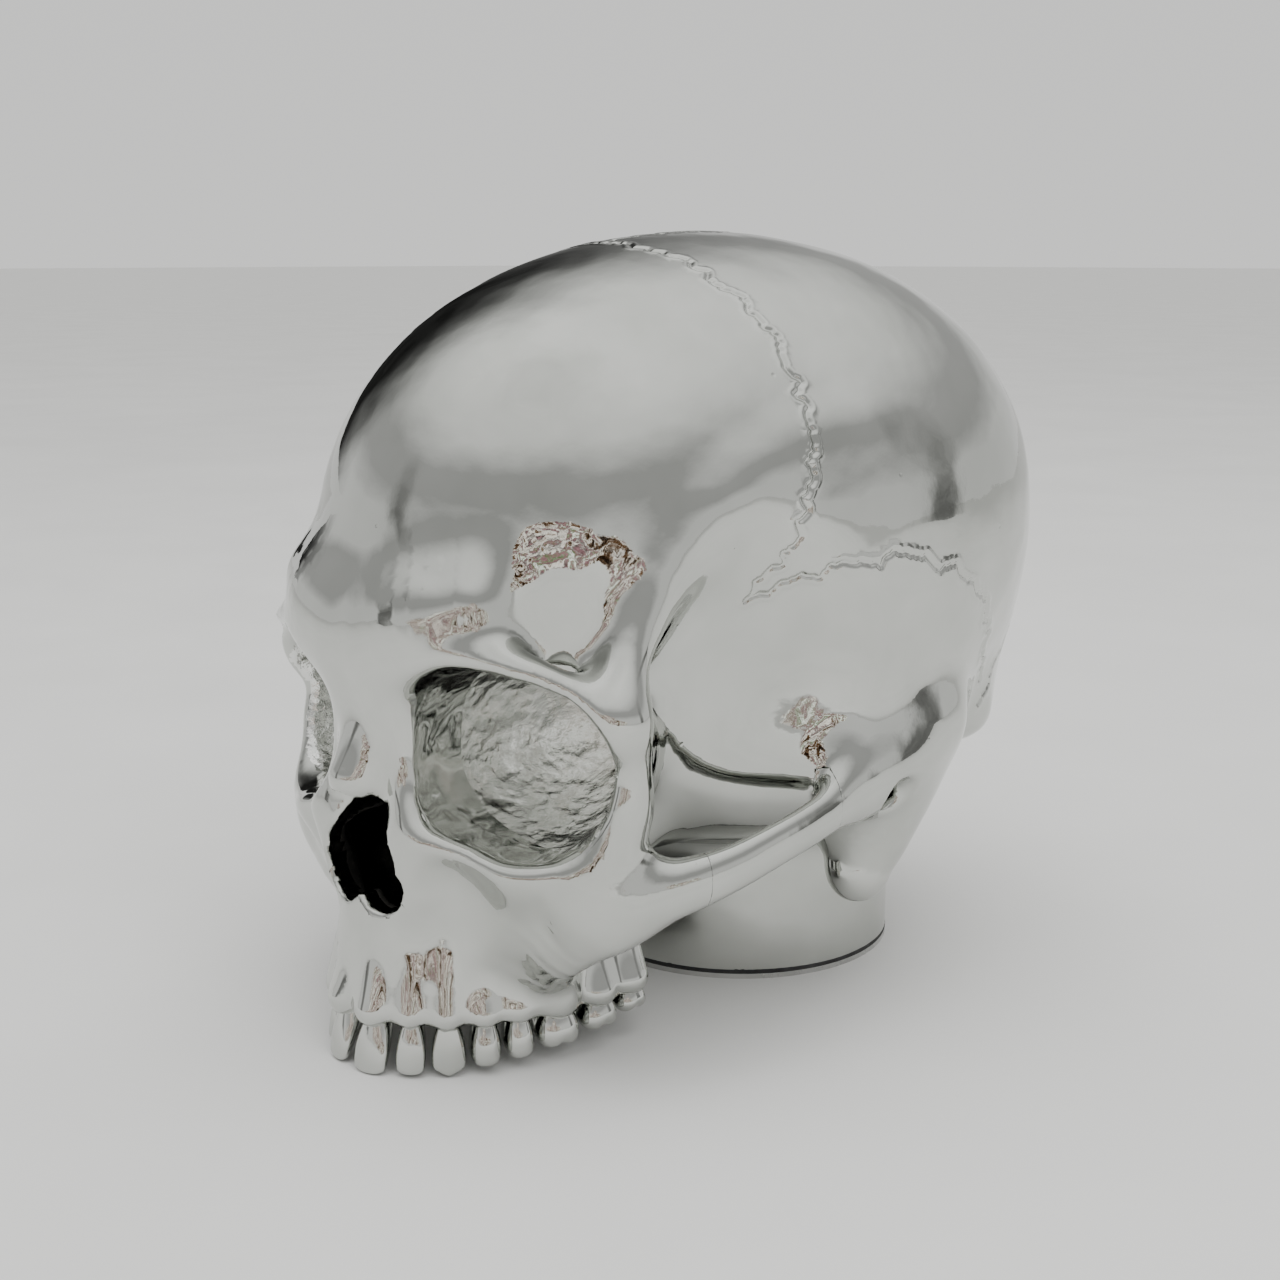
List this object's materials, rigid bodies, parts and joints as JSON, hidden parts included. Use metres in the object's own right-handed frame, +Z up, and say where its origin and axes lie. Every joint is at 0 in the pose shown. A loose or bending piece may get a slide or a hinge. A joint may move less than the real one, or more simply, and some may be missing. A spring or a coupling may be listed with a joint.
{
  "type": "ornamental skull",
  "caption": "Life-size ornamental human skull without a lower jaw, a hollow chrome casting standing on its upper teeth and a round foot with a screwed cover.",
  "frame": {"origin": "on the surface the skull stands on, at the middle of its length and width", "axes": "+Z up, the face looks to -Y, +X is the skull's own left"},
  "size_m": [0.14, 0.193, 0.172],
  "materials": {
    "chrome_shell": "mirror",
    "chrome_teeth": "mirror",
    "gasket_rubber": "matt",
    "cover_steel": "satin",
    "screw_steel": "satin"
  },
  "bodies": {
    "root": {"skull_shell": "chrome_shell", "left_cheek_arch": "chrome_shell", "right_cheek_arch": "chrome_shell", "base_gasket": "gasket_rubber", "base_cover": "cover_steel", "cover_screws": "screw_steel", "tooth_left_central_incisor": "chrome_teeth", "tooth_left_lateral_incisor": "chrome_teeth", "tooth_left_canine": "chrome_teeth", "tooth_left_first_premolar": "chrome_teeth", "tooth_left_second_premolar": "chrome_teeth", "tooth_left_first_molar": "chrome_teeth", "tooth_left_second_molar": "chrome_teeth", "tooth_left_third_molar": "chrome_teeth", "tooth_right_central_incisor": "chrome_teeth", "tooth_right_lateral_incisor": "chrome_teeth", "tooth_right_canine": "chrome_teeth", "tooth_right_first_premolar": "chrome_teeth", "tooth_right_second_premolar": "chrome_teeth", "tooth_right_first_molar": "chrome_teeth", "tooth_right_second_molar": "chrome_teeth", "tooth_right_third_molar": "chrome_teeth"}
  },
  "joints": []
}
